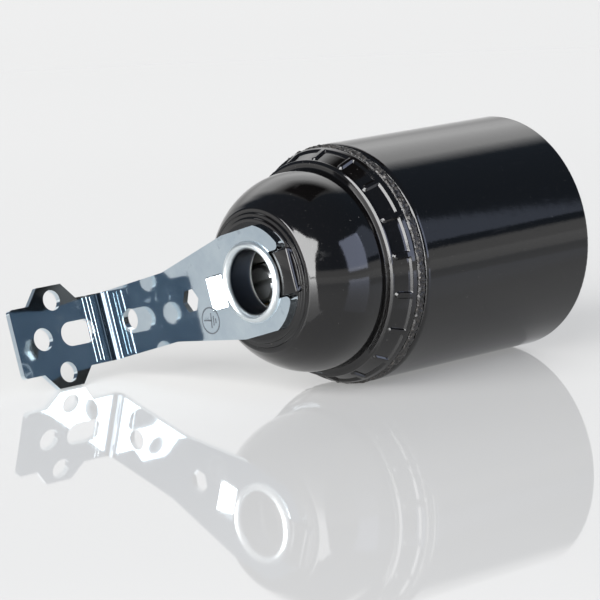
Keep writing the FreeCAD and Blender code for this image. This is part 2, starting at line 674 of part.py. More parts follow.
def side_name(sign):
    return "line" if sign == "" else "neutral"


def make_terminal(sign):
    """Brass block with one tapped hole for each of its two screws."""
    body = new_body(side_name(sign) + "_terminal")
    offset = sign + TERMINAL_OFFSET
    half = "terminal_width / 2"
    face = new_sketch(body, "face", "YZ_Plane", shift=("0", "0", BLOCK_REAR))
    add_loop(face, box_corners("(%s - %s)" % (offset, half), "(%s + %s)" % (offset, half), "-" + half, half))
    pad = body.newObject("PartDesign::Pad", body.Name + "_block")
    pad.Profile = face
    pad.Length = number("terminal_length")
    pad.setExpression("Length", linked("terminal_length"))
    rear = new_sketch(body, "rear_hole", "YZ_Plane", shift=("0", "0", BLOCK_REAR))
    add_circle(rear, offset, "0", "(screw_radius + screw_clearance)")
    depth = "(screw_length - clamp_thickness + screw_clearance)"
    check_cut(cut_along(body, "rear_hole_cut", rear, depth, True))
    front = new_sketch(body, "front_hole", "YZ_Plane", shift=("0", "0", BLOCK_FRONT))
    add_circle(front, offset, "0", "(contact_screw_radius + screw_clearance)")
    depth = "(%s - %s + contact_screw_length + screw_clearance)" % (BLOCK_FRONT, LOCK_FRONT)
    check_cut(cut_along(body, "front_hole_cut", front, depth, False))
    return body


def make_clamp_washer(sign):
    """Square washer that presses the wire on the terminal block."""
    body = new_body(side_name(sign) + "_clamp_washer")
    offset = sign + TERMINAL_OFFSET
    half = "clamp_width / 2"
    face = new_sketch(body, "face", "YZ_Plane", shift=("0", "0", CLAMP_REAR))
    add_loop(face, box_corners("(%s - %s)" % (offset, half), "(%s + %s)" % (offset, half), "-" + half, half))
    add_circle(face, offset, "0", "(screw_radius + screw_clearance)")
    pad = body.newObject("PartDesign::Pad", body.Name + "_plate")
    pad.Profile = face
    pad.Length = number("clamp_thickness")
    pad.setExpression("Length", linked("clamp_thickness"))
    return body


def make_screw(name, sign, seat, shank, length, head, height, points):
    """Slotted screw parallel to the axis; points is 1 towards the mouth, -1 to the rear."""
    body = new_body(side_name(sign) + "_" + name)
    offset = sign + TERMINAL_OFFSET
    towards = "(%d)" % points
    top = "(%s - %s * %s)" % (seat, towards, height)
    tip = "(%s + %s * %s)" % (seat, towards, length)
    edge = "(%s * 0.25)" % height
    turned(body, "blank", [
        (tip, "0"),
        (tip, shank),
        (seat, shank),
        (seat, head),
        ("(%s + %s * %s)" % (top, towards, edge), head),
        (top, "(%s - %s)" % (head, edge)),
        (top, "0"),
    ], offset)
    slot = new_sketch(body, "slot", "XY_Plane", shift=("0", offset, "0"))
    floor = "(%s + %s * screw_slot_depth * %s / screw_head_height)" % (top, towards, height)
    reach = "(%s * 1.5)" % head
    low, high = (top, floor) if points > 0 else (floor, top)
    add_loop(slot, box_corners(low, high, "-" + reach, reach))
    check_cut(cut_both_ways(body, "slot_cut", slot, "screw_slot_width"))
    return body


def make_lock_washer(sign):
    """Washer under the head of a contact screw."""
    body = new_body(side_name(sign) + "_lock_washer")
    turned(body, "disc", box_corners(
        FOOT_FRONT, LOCK_FRONT, "(contact_screw_radius + screw_clearance)", "lock_washer_radius"),
        sign + TERMINAL_OFFSET)
    return body


def make_centre_contact():
    """Bronze leaf: a foot under its screw and a tongue that rises over the centre."""
    body = new_body("centre_contact")
    side = new_sketch(body, "side", "XY_Plane")
    crest = "(%s + leaf_rise)" % FOOT_FRONT
    tip = "(%s - leaf_tip_drop)" % crest
    thick = "strip_thickness"
    foot = "(%s + foot_reach)" % TERMINAL_OFFSET
    add_loop(side, [
        (INSERT_FRONT, foot),
        (INSERT_FRONT, LEAF_ROOT),
        ("(%s - %s)" % (crest, thick), "leaf_crest"),
        ("(%s - %s)" % (tip, thick), "(leaf_crest - leaf_tip)"),
        (tip, "(leaf_crest - leaf_tip)"),
        (crest, "leaf_crest"),
        (FOOT_FRONT, LEAF_ROOT),
        (FOOT_FRONT, foot),
    ])
    padded(body, "strip", side, "strip_width")
    for name, at, radius in (
        ("screw", TERMINAL_OFFSET, "(contact_screw_radius + screw_clearance)"),
        ("button", "leaf_crest", "(button_shank + screw_clearance)"),
    ):
        hole = new_sketch(body, name + "_hole", "YZ_Plane")
        add_circle(hole, at, "0", radius)
        check_cut(cut_through(body, name + "_hole_cut", hole))
    return body


def make_button():
    """Contact button riveted in the crest of the leaf."""
    body = new_body("contact_button")
    crest = "(%s + leaf_rise)" % FOOT_FRONT
    turned(body, "rivet", [
        ("(%s - 2 * strip_thickness)" % crest, "0"),
        ("(%s - 2 * strip_thickness)" % crest, "button_shank"),
        ("(%s + button_seat)" % crest, "button_shank"),
        ("(%s + button_seat)" % crest, "button_radius"),
        ("(%s + button_height / 2)" % crest, "button_radius"),
        ("(%s + button_height)" % crest, "(button_radius / 2)"),
        ("(%s + button_height)" % crest, "0"),
    ], "leaf_crest")
    return body


def make_side_contact():
    """Bronze finger: a foot under its screw and a leg that leans on the lamp's shell."""
    body = new_body("side_contact")
    side = new_sketch(body, "side", "XY_Plane")
    outer = "(-%s)" % FINGER_RADIUS
    inner = "(strip_thickness - %s)" % FINGER_RADIUS
    lean = "finger_bump"
    foot = "(foot_reach - %s)" % TERMINAL_OFFSET
    end = "(%s + finger_length)" % INSERT_FRONT
    bump = "(%s + finger_bump_at)" % INSERT_FRONT
    low = "(%s - finger_bump_half)" % bump
    high = "(%s + finger_bump_half)" % bump
    add_loop(side, [
        (INSERT_FRONT, foot),
        (INSERT_FRONT, outer),
        (low, outer),
        (bump, "(%s + %s)" % (outer, lean)),
        (high, outer),
        (end, outer),
        (end, inner),
        (high, inner),
        (bump, "(%s + %s)" % (inner, lean)),
        (low, inner),
        (FOOT_FRONT, inner),
        (FOOT_FRONT, foot),
    ])
    padded(body, "strip", side, "strip_width")
    hole = new_sketch(body, "screw_hole", "YZ_Plane")
    add_circle(hole, "-" + TERMINAL_OFFSET, "0", "(contact_screw_radius + screw_clearance)")
    check_cut(cut_through(body, "screw_hole_cut", hole))
    return body


def make_all():
    """Every piece of the holder, from the bracket to the contacts."""
    bodies = [make_bracket(), make_cap(), make_rivet(), make_washer(), make_skirt(), make_insert()]
    for sign in ("", "-"):
        bodies.append(make_terminal(sign))
        bodies.append(make_clamp_washer(sign))
        bodies.append(make_screw(
            "terminal_screw", sign, CLAMP_REAR, "screw_radius", "screw_length",
            "screw_head_radius", "screw_head_height", 1))
        bodies.append(make_screw(
            "contact_screw", sign, LOCK_FRONT, "contact_screw_radius", "contact_screw_length",
            "contact_head_radius", "contact_head_height", -1))
        bodies.append(make_lock_washer(sign))
    bodies.append(make_centre_contact())
    bodies.append(make_button())
    bodies.append(make_side_contact())
    return bodies


def check_and_export(bodies):
    """Stop on any failed object or bad solid, then write one file for each piece."""
    DOC.recompute()
    for item in DOC.Objects:
        if "Invalid" in item.State or "Error" in item.State:
            raise RuntimeError("%s did not rebuild: %s" % (item.Name, item.State))
    os.makedirs("parts", exist_ok=True)
    for body in bodies:
        shape = body.Shape
        if shape.isNull() or not shape.isValid() or len(shape.Solids) != 1:
            raise RuntimeError("%s is not one sound solid" % body.Label)
        shape.exportStep("parts/%s.step" % body.Label)
        print("%-24s %9.2f mm3" % (body.Label, shape.Volume))


check_and_export(make_all())
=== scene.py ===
import json
import math
import random

import bmesh
import bpy
from mathutils import Matrix, Vector, noise

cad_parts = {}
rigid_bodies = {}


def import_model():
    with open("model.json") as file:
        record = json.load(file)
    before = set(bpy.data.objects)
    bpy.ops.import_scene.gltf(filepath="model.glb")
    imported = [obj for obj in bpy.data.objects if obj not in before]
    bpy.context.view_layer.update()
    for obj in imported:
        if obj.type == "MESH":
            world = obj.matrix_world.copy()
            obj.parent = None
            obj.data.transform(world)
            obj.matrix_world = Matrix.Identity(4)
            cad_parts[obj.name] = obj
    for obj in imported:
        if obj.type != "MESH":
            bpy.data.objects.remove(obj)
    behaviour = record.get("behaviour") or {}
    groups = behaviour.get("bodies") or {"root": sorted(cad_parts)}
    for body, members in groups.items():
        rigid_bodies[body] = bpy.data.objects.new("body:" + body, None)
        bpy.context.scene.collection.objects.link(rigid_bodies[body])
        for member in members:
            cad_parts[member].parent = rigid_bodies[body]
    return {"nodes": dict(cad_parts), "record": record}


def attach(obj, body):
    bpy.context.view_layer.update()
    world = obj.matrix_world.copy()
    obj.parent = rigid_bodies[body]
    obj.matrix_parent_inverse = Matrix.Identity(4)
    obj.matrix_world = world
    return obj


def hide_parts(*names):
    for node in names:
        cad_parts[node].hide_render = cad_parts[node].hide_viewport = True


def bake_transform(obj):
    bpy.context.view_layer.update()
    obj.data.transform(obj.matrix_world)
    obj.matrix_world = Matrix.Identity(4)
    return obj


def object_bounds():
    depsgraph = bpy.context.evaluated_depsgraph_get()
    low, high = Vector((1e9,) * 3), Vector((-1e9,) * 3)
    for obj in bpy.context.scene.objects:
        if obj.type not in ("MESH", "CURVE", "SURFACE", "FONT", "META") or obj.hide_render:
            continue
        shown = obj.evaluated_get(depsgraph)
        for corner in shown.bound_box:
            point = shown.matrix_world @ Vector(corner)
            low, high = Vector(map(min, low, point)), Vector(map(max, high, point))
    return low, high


# A lamp holder on its side on a glossy pale table: black moulded cap and skirt, a bent
# zinc-plated bracket and a bright hollow rivet.  The X axis is the holder's axis.

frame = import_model()
CAD_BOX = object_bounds()
MM = 0.001
FULL_TURN = 2 * math.pi

# The bracket's strap points down and away: its direction comes from the strap's hole.
mounts = {mount["name"]: Vector(mount["pos_m"]) for mount in frame["record"]["mounts"]}
ALONG = Vector((0, mounts["strap_hole"].y, mounts["strap_hole"].z)).normalized()
ACROSS = Vector((0, -ALONG.z, ALONG.y))
SHEET = 1.0  # thickness of the bracket's sheet, mm
PLATE = (mounts["plate_face"].dot(ALONG) / MM) - SHEET  # inner face of the end plate, mm


def at(depth, along, across):
    """The point that far behind the bracket's face, along the strap and across it, in mm."""
    return Vector(((depth - SHEET) * MM, 0, 0)) + (along * ALONG + across * ACROSS) * MM


# --- Camera -----------------------------------------------------------------------------

# The camera looks down its own -Z; back points from the holder to it.
AZIMUTH, ELEVATION, TILT = -42.54, 10.55, -2.41
DISTANCE = 0.5413
LENS = 195.0
SIDEWAYS, UPWARD = -0.00013, -0.00629
azimuth, elevation, tilt = (math.radians(turn) for turn in (AZIMUTH, ELEVATION, TILT))
back = Vector((
    math.sin(azimuth) * math.cos(elevation),
    -math.cos(azimuth) * math.cos(elevation),
    math.sin(elevation)))
right = Vector((math.cos(azimuth), math.sin(azimuth), 0))
above = back.cross(right)
target = Vector((0.016, 0.007, 0)) + SIDEWAYS * right + UPWARD * above
right, above = (
    math.cos(tilt) * right + math.sin(tilt) * above,
    math.cos(tilt) * above - math.sin(tilt) * right)
scene = bpy.context.scene
scene.view_settings.view_transform = "Standard"
camera = bpy.data.objects.new("camera", bpy.data.cameras.new("camera"))
scene.collection.objects.link(camera)
camera.data.sensor_width = 36.0
camera.data.lens = LENS
camera.data.clip_start, camera.data.clip_end = 0.05, 50
place = Matrix((right, above, back)).transposed().to_4x4()
place.translation = target + back * DISTANCE
camera.matrix_world = place
scene.camera = camera


# --- Shader maths -----------------------------------------------------------------------

class Value:
    """A socket that carries a number, with the operators that add Math nodes."""

    def __init__(self, paint, socket):
        self.paint = paint
        self.socket = socket

    def _sum(self, operation, *others):
        return self.paint.number(operation, self, *others)

    def __add__(self, other):
        return self._sum("ADD", other)

    def __sub__(self, other):
        return self._sum("SUBTRACT", other)

    def __mul__(self, other):
        return self._sum("MULTIPLY", other)

    def __truediv__(self, other):
        return self._sum("DIVIDE", other)

    def __rsub__(self, other):
        return self.paint.number("SUBTRACT", other, self)

    __radd__ = __add__
    __rmul__ = __mul__

    def above(self, edge, soft):
        """0 below the edge and 1 above it, with a soft step of that width."""
        return ((self - edge) / soft + 0.5).held()

    def held(self):
        """No less than 0 and no more than 1."""
        return self._sum("MINIMUM", 1.0)._sum("MAXIMUM", 0.0)


class Paint:
    """One material and the nodes that make it."""

    def __init__(self, name):
        self.material = bpy.data.materials.new(name)
        self.material.use_nodes = True
        self.nodes = self.material.node_tree.nodes
        self.links = self.material.node_tree.links
        self.nodes.clear()
        self.output = self.nodes.new("ShaderNodeOutputMaterial")

    @classmethod
    def on(cls, world):
        """The same tools for a world's nodes."""
        made = cls.__new__(cls)
        made.material = world
        made.nodes, made.links = world.node_tree.nodes, world.node_tree.links
        made.nodes.clear()
        made.output = made.nodes.new("ShaderNodeOutputWorld")
        return made

    def put(self, socket, given):
        if isinstance(given, Value):
            given = given.socket
        if isinstance(given, bpy.types.NodeSocket):
            self.links.new(given, socket)
        else:
            socket.default_value = given

    def node(self, kind, settings=None, **sockets):
        """A node of that type: its settings first, then the values or links of its sockets."""
        made = self.nodes.new(kind)
        for name, setting in (settings or {}).items():
            setattr(made, name, setting)
        for name, given in sockets.items():
            self.put(made.inputs[name.replace("_", " ")], given)
        return made

    def number(self, operation, *values):
        made = self.node("ShaderNodeMath", {"operation": operation})
        for socket, given in zip(made.inputs, values):
            self.put(socket, given)
        return Value(self, made.outputs[0])

    def value(self, socket):
        return Value(self, socket)

    def place(self):
        """Position on the object at rest, in metres, and its three parts."""
        where = self.node("ShaderNodeTexCoord").outputs["Object"]
        parts = self.node("ShaderNodeSeparateXYZ", Vector=where).outputs
        return where, [Value(self, part) for part in parts]

    def noise(self, where, scale, detail=2.0, rough=0.5, lengthwise=None):
        """Noise from 0 to 1; lengthwise stretches it along one direction."""
        if lengthwise is not None:
            where = self.node("ShaderNodeMapping", Vector=where, Scale=lengthwise).outputs[0]
        made = self.node(
            "ShaderNodeTexNoise", Vector=where, Scale=scale, Detail=detail, Roughness=rough)
        return Value(self, made.outputs["Fac"])

    def blend(self, factor, first, second):
        """A colour between two."""
        made = self.node("ShaderNodeMix", {"data_type": "RGBA"})
        for index, given in ((0, factor), (6, first), (7, second)):
            self.put(made.inputs[index], given)
        return made.outputs[2]

    def bump(self, height, depth, strength=1.0, after=None):
        made = self.node("ShaderNodeBump", Height=height, Distance=depth, Strength=strength)
        if after is not None:
            self.put(made.inputs["Normal"], after)
        return made.outputs[0]

    def surface(self, **sockets):
        shader = self.node("ShaderNodeBsdfPrincipled", None, **sockets)
        self.links.new(shader.outputs[0], self.output.inputs["Surface"])
        return self.material


# --- Finishes ---------------------------------------------------------------------------

FLASH_START, FLASH_END = 17.4, 18.95  # moulding flash, mm from the cap's seat
BORE_SHADE_EDGE = 5.35  # radius inside which the rivet's bore is painted dark as shade, mm
RIDGE_PITCH = 0.95  # lines that the bending tool leaves, mm apart


def black_phenolic():
    """Glossy black moulding: specks, a slight orange peel, scratches and a dull flash line."""
    paint = Paint("black_phenolic")
    where, (along, out, up) = paint.place()
    radius = paint.number("SQRT", out * out + up * up)
    specks = paint.noise(where, 2600.0, 3.0, 0.6)
    cloud = paint.noise(where, 160.0, 3.0, 0.55)
    peel = paint.noise(where, 420.0, 2.0, 0.5)
    swirl = paint.noise(where, 900.0, 2.0, 0.5, (0.12, 1.0, 1.0))
    dust = paint.noise(where, 3600.0, 1.0, 0.4).above(0.80, 0.03)
    wear = swirl.above(0.68, 0.08) * cloud.above(0.5, 0.2)
    flash = along.above(FLASH_START * MM, 0.2 * MM) * (1 - along.above(FLASH_END * MM, 0.1 * MM)) \
        * radius.above(19.4 * MM, 0.4 * MM)
    chips = paint.noise(where, 1900.0, 3.0, 0.7).above(0.52, 0.12) * flash
    colour = paint.blend(
        specks.above(0.70, 0.06) * 0.6, (0.0026, 0.0023, 0.0023, 1), (0.018, 0.016, 0.016, 1))
    colour = paint.blend(chips, colour, (0.026, 0.022, 0.019, 1))
    colour = paint.blend(dust * 0.5, colour, (0.20, 0.19, 0.18, 1))
    rough = 0.055 + cloud * 0.04 + wear * 0.12 + specks.above(0.66, 0.08) * 0.05 + flash * 0.30
    height = peel * 0.5 + specks * 0.25 + chips * 2.0
    return paint.surface(
        Base_Color=colour, Roughness=rough, IOR=1.56,
        Normal=paint.bump(height, 0.00003, 0.5))


def zinc_sheet():
    """Blue zinc on rolled sheet: nearly a mirror, with clouds, stains and rolling lines, and a
    painted dark reflection across the bend.
    """
    paint = Paint("zinc_sheet")
    where, (x, y, z) = paint.place()
    cloud = paint.noise(where, 170.0, 4.0, 0.6)
    grain = paint.noise(where, 1500.0, 3.0, 0.6)
    stain = paint.noise(where, 420.0, 3.0, 0.6).above(0.68, 0.1)
    lines = paint.noise(where, 700.0, 2.0, 0.5, (0.1, 0.1, 1.0))
    colour = paint.blend(cloud.above(0.5, 0.5), (0.62, 0.72, 0.79, 1), (0.78, 0.87, 0.92, 1))
    colour = paint.blend(stain * 0.6, colour, (0.48, 0.55, 0.60, 1))
    # bent runs along the strap, through the bend and out along the end plate
    bent = y * ALONG.y + z * ALONG.z - x
    fold = bent.above(38.2 * MM, 0.5 * MM) * (1 - bent.above(41.3 * MM, 0.8 * MM))
    ridges = paint.number("SINE", bent * (FULL_TURN / (RIDGE_PITCH * MM))) * fold
    # painted reflection: the bend is painted dark navy for the black holder that it mirrors, kept
    # lighter along the ridge crests
    painted_bend_reflection = fold * (0.92 - ridges.above(0.965, 0.06) * 0.6)
    colour = paint.blend(painted_bend_reflection, colour, (0.05, 0.065, 0.085, 1))
    rough = 0.030 + cloud * 0.03 + lines * 0.02 + stain * 0.08
    skin = paint.bump(grain * 0.3 + lines * 0.3 + cloud, 0.00001, 0.5)
    return paint.surface(
        Base_Color=colour, Metallic=1.0, Roughness=rough,
        Normal=paint.bump(ridges, 0.00001, 1.0, skin))


def stamp_shade_zinc():
    """Zinc in the bottom of a stamped mark: duller, and painted dark as the shade in the mark."""
    paint = Paint("stamp_shade_zinc")
    where, _ = paint.place()
    cloud = paint.noise(where, 900.0, 3.0, 0.6)
    # painted shade: the stamped mark's colour is dark for the shade inside it
    colour = paint.blend(cloud, (0.07, 0.08, 0.09, 1), (0.16, 0.18, 0.20, 1))
    return paint.surface(Base_Color=colour, Metallic=0.6, Roughness=0.38 + cloud * 0.12)


def bright_rivet():
    """Plated rivet: bright, with rings from the rolling tool, and painted shade in its bore."""
    paint = Paint("bright_rivet")
    where, (along, out, up) = paint.place()
    radius = paint.number("SQRT", out * out + up * up)
    rings = paint.noise(paint.node("ShaderNodeCombineXYZ", X=radius, Y=along).outputs[0], 3500.0)
    colour = paint.blend(rings, (0.66, 0.71, 0.73, 1), (0.80, 0.84, 0.85, 1))
    # painted shade: inside the bore's edge the rivet is painted near-black
    bore = 1 - radius.above(BORE_SHADE_EDGE * MM, 0.25 * MM)
    colour = paint.blend(bore, colour, (0.035, 0.045, 0.065, 1))
    return paint.surface(
        Base_Color=colour, Metallic=1.0, Roughness=0.30 + rings * 0.10,
        Normal=paint.bump(rings, 0.00001, 0.5))


def clouded_metal(name, scale, dark, pale, rough, spread):
    """A bare metal whose colour and dullness drift together."""
    paint = Paint(name)
    where, _ = paint.place()
    cloud = paint.noise(where, scale, 3.0, 0.6)
    colour = paint.blend(cloud, dark, pale)
    return paint.surface(Base_Color=colour, Metallic=1.0, Roughness=rough + cloud * spread)


def porcelain():
    paint = Paint("porcelain")
    where, _ = paint.place()
    cloud = paint.noise(where, 120.0, 3.0, 0.6)
    specks = paint.noise(where, 1500.0, 2.0, 0.5)
    colour = paint.blend(cloud, (0.78, 0.76, 0.71, 1), (0.85, 0.83, 0.79, 1))
    return paint.surface(
        Base_Color=colour, Roughness=0.18 + specks.above(0.6, 0.2) * 0.15,
        Normal=paint.bump(cloud, 0.00006, 0.4))


BLACK = black_phenolic()
ZINC = zinc_sheet()
STAMP_SHADE = stamp_shade_zinc()
RIVET = bright_rivet()
BRASS = clouded_metal(
    "turned_brass", 300.0, (0.62, 0.44, 0.17, 1), (0.76, 0.58, 0.28, 1), 0.22, 0.12)
BRONZE = clouded_metal(
    "spring_bronze", 260.0, (0.58, 0.36, 0.18, 1), (0.70, 0.48, 0.28, 1), 0.24, 0.14)
SCREW = clouded_metal(
    "plated_screw", 500.0, (0.55, 0.57, 0.58, 1), (0.70, 0.72, 0.73, 1), 0.26, 0.12)
PORCELAIN = porcelain()

FINISHES = {
    "cap": BLACK, "skirt": BLACK, "mounting_bracket": ZINC, "rivet_washer": ZINC,
    "hollow_rivet": RIVET, "contact_insert": PORCELAIN, "contact_button": BRASS,
    "centre_contact": BRONZE, "side_contact": BRONZE,
}
for side in ("line", "neutral"):
    FINISHES[side + "_terminal"] = BRASS
    for screw in ("_clamp_washer", "_terminal_screw", "_contact_screw", "_lock_washer"):
        FINISHES[side + screw] = SCREW
for node, material in FINISHES.items():
    for slot in frame["nodes"][node].material_slots:
        slot.material = material


# --- Forms ------------------------------------------------------------------------------

def mesh_object(name, mesh, material, sharp=32.0):
    """A piece of that mesh, smooth but for its edges above that angle."""
    work = bmesh.new()
    work.from_mesh(mesh)
    bmesh.ops.recalc_face_normals(work, faces=work.faces)
    for face in work.faces:
        face.smooth = True
    for edge in work.edges:
        edge.smooth = edge.calc_face_angle(0.0) < math.radians(sharp)
    work.to_mesh(mesh)
    work.free()
    mesh.materials.clear()
    mesh.materials.append(material)
    made = bpy.data.objects.new(name, mesh)
    scene.collection.objects.link(made)
    return made


def revolved(name, section, steps, change=None):
    """A ring swept from a closed section of (place on the axis, radius), in mm.

    change(x, radius, angle) may give another radius at each point.
    """
    points, faces = [], []
    count = len(section)
    for step in range(steps):
        angle = FULL_TURN * step / steps
        for x, radius in section:
            if change:
                radius = change(x, radius, angle)
            points.append((x * MM, radius * math.cos(angle) * MM, radius * math.sin(angle) * MM))
        for index in range(count):
            near, far = step * count, (step + 1) % steps * count
            after = (index + 1) % count
            faces.append((near + index, near + after, far + after, far + index))
    mesh = bpy.data.meshes.new(name)
    mesh.from_pydata(points, [], faces)
    return mesh


BOX_FACES = (
    (0, 1, 3, 2), (4, 6, 7, 5), (0, 4, 5, 1), (2, 3, 7, 6), (0, 2, 6, 4), (1, 5, 7, 3))


def block(name, low, high, bevel=0.0):
    """A box in the bracket's directions (depth, along, across), in mm."""
    work = bmesh.new()
    corners = [
        work.verts.new(at(x, u, v))
        for x in (low[0], high[0]) for u in (low[1], high[1]) for v in (low[2], high[2])]
    for face in BOX_FACES:
        work.faces.new([corners[index] for index in face])
    if bevel:
        bmesh.ops.bevel(
            work, geom=work.edges[:], offset=bevel * MM, segments=3, affect="EDGES", profile=0.5)
    bmesh.ops.recalc_face_normals(work, faces=work.faces)
    mesh = bpy.data.meshes.new(name)
    work.to_mesh(mesh)
    work.free()
    return mesh


def combined(mesh, *others):
    """The mesh after each (operation, mesh) has been cut from it or joined to it."""
    body = bpy.data.objects.new("work", mesh)
    scene.collection.objects.link(body)
    tools = []
    for operation, other in others:
        tool = bpy.data.objects.new("tool", other)
        scene.collection.objects.link(tool)
        tools.append(tool)
        step = body.modifiers.new("step", "BOOLEAN")
        step.operation, step.solver, step.object = operation, "EXACT", tool
    bpy.context.view_layer.update()
    solved = body.evaluated_get(bpy.context.evaluated_depsgraph_get())
    made = bpy.data.meshes.new_from_object(solved)
    for leftover in (body, *tools):
        bpy.data.objects.remove(leftover)
    return made


def soft_step(value, low, high):
    part = min(max((value - low) / (high - low), 0.0), 1.0)
    return part * part * (3 - 2 * part)


# --- Cap --------------------------------------------------------------------------------

CAP_END = 18.9  # mouth of the cap
# Outlines as (distance behind the seat, radius), mm.
SEAT = (
    (0.0, 5.75), (0.0, 7.5), (0.0, 9.6), (0.0, 10.1), (0.05, 10.24), (0.30, 10.36),
    (0.35, 10.5), (0.35, 10.85), (0.40, 11.0), (0.62, 11.1))
DOME = (
    (0.70, 11.15), (0.72, 11.6), (0.80, 11.88), (0.98, 12.10), (1.5, 12.68), (2.1, 13.23),
    (3.0, 13.96), (4.0, 14.62), (5.0, 15.16), (6.0, 15.62), (7.0, 16.0), (8.0, 16.28),
    (9.0, 16.47), (10.0, 16.58), (11.0, 16.63), (12.0, 16.65), (12.95, 16.65))
COLLAR_EDGE = ((13.1, 16.70), (13.15, 16.85), (13.15, 17.45), (13.18, 17.66), (13.28, 17.80))
COLLAR = (
    (13.15, 17.84), (14.0, 18.26), (15.0, 18.76), (16.0, 19.25), (17.0, 19.58), (17.5, 19.66))
MOULD_FLASH = (
    (17.3, 19.60), (17.42, 19.58), (17.46, 19.66), (17.52, 19.80), (17.62, 19.86),
    (17.74, 19.84), (17.88, 19.88), (18.02, 19.86), (18.16, 19.90), (18.3, 19.86),
    (18.44, 19.90), (18.58, 19.86), (18.7, 19.86), (18.8, 19.80), (CAP_END, 19.68))
CAP_INSIDE = (
    (CAP_END, 17.45), (18.7, 17.4), (14.0, 17.4), (14.0, 16.05), (12.2, 16.05), (12.2, 14.55),
    (11.0, 14.5), (9.0, 14.35), (7.0, 13.8), (5.0, 12.8), (3.6, 11.6), (2.6, 10.2), (2.6, 5.75))
COLLAR_STEP = 0.085  # between the rows of points on the collar
FLASH_LIMIT = 20.08
COLLAR_LEAST = 17.7  # radii below it keep to the outline
RIBS, FIRST_RIB = 18, 8.5
RIB_HALF = 0.5
PANEL_FRONT, PANEL_REAR, PANEL_DEPTH = 13.62, 16.35, 0.42


def along_line(line, x):
    """Radius at x on a line of (x, radius) points."""
    for (x0, r0), (x1, r1) in zip(line, line[1:]):
        if x <= x1:
            return r0 + (r1 - r0) * (x - x0) / (x1 - x0)
    return line[-1][1]


def smooth_line(line, count):
    """Points on the rounded curve through those points."""
    made = []
    for index in range(len(line) - 1):
        p0, p1 = line[max(index - 1, 0)], line[index]
        p2, p3 = line[index + 1], line[min(index + 2, len(line) - 1)]
        for part in range(count):
            t = part / count
            made.append(tuple(
                0.5 * (2 * b + (c - a) * t + (2 * a - 5 * b + 4 * c - d) * t * t
                       + (3 * b - a - 3 * c + d) * t ** 3)
                for a, b, c, d in zip(p0, p1, p2, p3)))
    made.append(line[-1])
    return made


def collar_radius(x, radius, angle):
    """Panels between ribs on the collar, and the ragged flash at its mouth."""
    if radius < COLLAR_LEAST:
        return radius
    turn = math.degrees(angle)
    if x < 17.1:
        offset = (turn - FIRST_RIB + 180 / RIBS) % (360 / RIBS) - 180 / RIBS
        side = math.radians(offset) * radius
        front = PANEL_FRONT + 0.34 + RIB_HALF
        reach = math.hypot(side, min(x - front, 0.0))
        rib = 1 - soft_step(reach, RIB_HALF - 0.12, RIB_HALF + 0.12)
        panel = soft_step(x, PANEL_FRONT - 0.1, PANEL_FRONT + 0.1) \
            * (1 - soft_step(x, PANEL_REAR - 0.1, PANEL_REAR + 0.12))
        return radius - PANEL_DEPTH * panel * (1 - rib)
    if x < FLASH_START:
        return radius
    point = Vector((x * 0.9, 13 * math.cos(angle), 13 * math.sin(angle)))
    ragged = sum(
        noise.noise(point * finer) * share for finer, share in ((1.0, 0.6), (2.7, 0.6), (6.0, 0.4)))
    return min(radius + 0.34 * ragged, FLASH_LIMIT)


def make_cap():
    """The cap: seat, dome, ribbed collar and flash, with the tab's recess and the lug."""
    section = [*SEAT, *smooth_line(DOME, 3), *COLLAR_EDGE]
    x = 13.38
    while x < 17.2:
        section.append((x, along_line(COLLAR, x) + 0.03))
        x += COLLAR_STEP
    section += [*MOULD_FLASH, *CAP_INSIDE]
    mesh = revolved("cap_moulding", section, 900, collar_radius)
    recess = block("recess", (-1.0, 7.05, -2.85), (2.3, 11.15, 2.85))
    lug = block("lug", (0.18, -9.85, -3.72), (2.6, -5.80, 3.72), 0.28)
    mesh = combined(mesh, ("DIFFERENCE", recess), ("UNION", lug))
    return mesh_object("cap_moulding", mesh, BLACK)


cap = make_cap()
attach(cap, "holder")
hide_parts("cap")


# --- Insert, lamp thread, earth sign and tool marks ----------------------------------------

FLANGE_RADIUS = 15.85


def make_insert():
    """The CAD insert with its flange turned down to the cap's narrower bore."""
    mesh = frame["nodes"]["contact_insert"].data.copy()
    mesh.name = "insert_moulding"
    for vertex in mesh.vertices:
        radius = math.hypot(vertex.co.y, vertex.co.z) / MM
        if radius > FLANGE_RADIUS:
            vertex.co.y *= FLANGE_RADIUS / radius
            vertex.co.z *= FLANGE_RADIUS / radius
    return mesh_object("insert_moulding", mesh, PORCELAIN)


insert = make_insert()
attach(insert, "holder")
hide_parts("contact_insert")


def make_thread():
    """The rounded ridge of the lamp thread inside the skirt."""
    core, depth, pitch, low, high = 12.50, 0.36, 3.63, 35.3, 44.7
    half_width, rooted, per_turn, fade_out = 1.1, 0.2, 90, 16
    steps, around = int((high - low) / pitch * per_turn), 10
    points, faces = [], []
    for step in range(steps + 1):
        angle = FULL_TURN * step / per_turn
        x = low + pitch * step / per_turn
        fade = min(step, steps - step, fade_out) / fade_out
        ridge = []
        for corner in range(around + 1):
            side = corner / around * 2 - 1
            rise = depth * fade * math.cos(side * math.pi / 2) ** 1.2 if abs(side) < 1 else 0
            ridge.append((x + side * half_width, core - rise))
        for place_x, radius in (*ridge, (x, core + rooted)):
            points.append((
                place_x * MM, radius * math.cos(angle) * MM, radius * math.sin(angle) * MM))
    row = around + 2
    for step in range(steps):
        for corner in range(row):
            after = (corner + 1) % row
            faces.append((
                step * row + corner, step * row + after,
                (step + 1) * row + after, (step + 1) * row + corner))
    faces.append(tuple(range(row)))
    faces.append(tuple(steps * row + corner for corner in reversed(range(row))))
    mesh = bpy.data.meshes.new("lamp_thread")
    mesh.from_pydata(points, [], faces)
    return mesh_object("lamp_thread", mesh, BLACK)


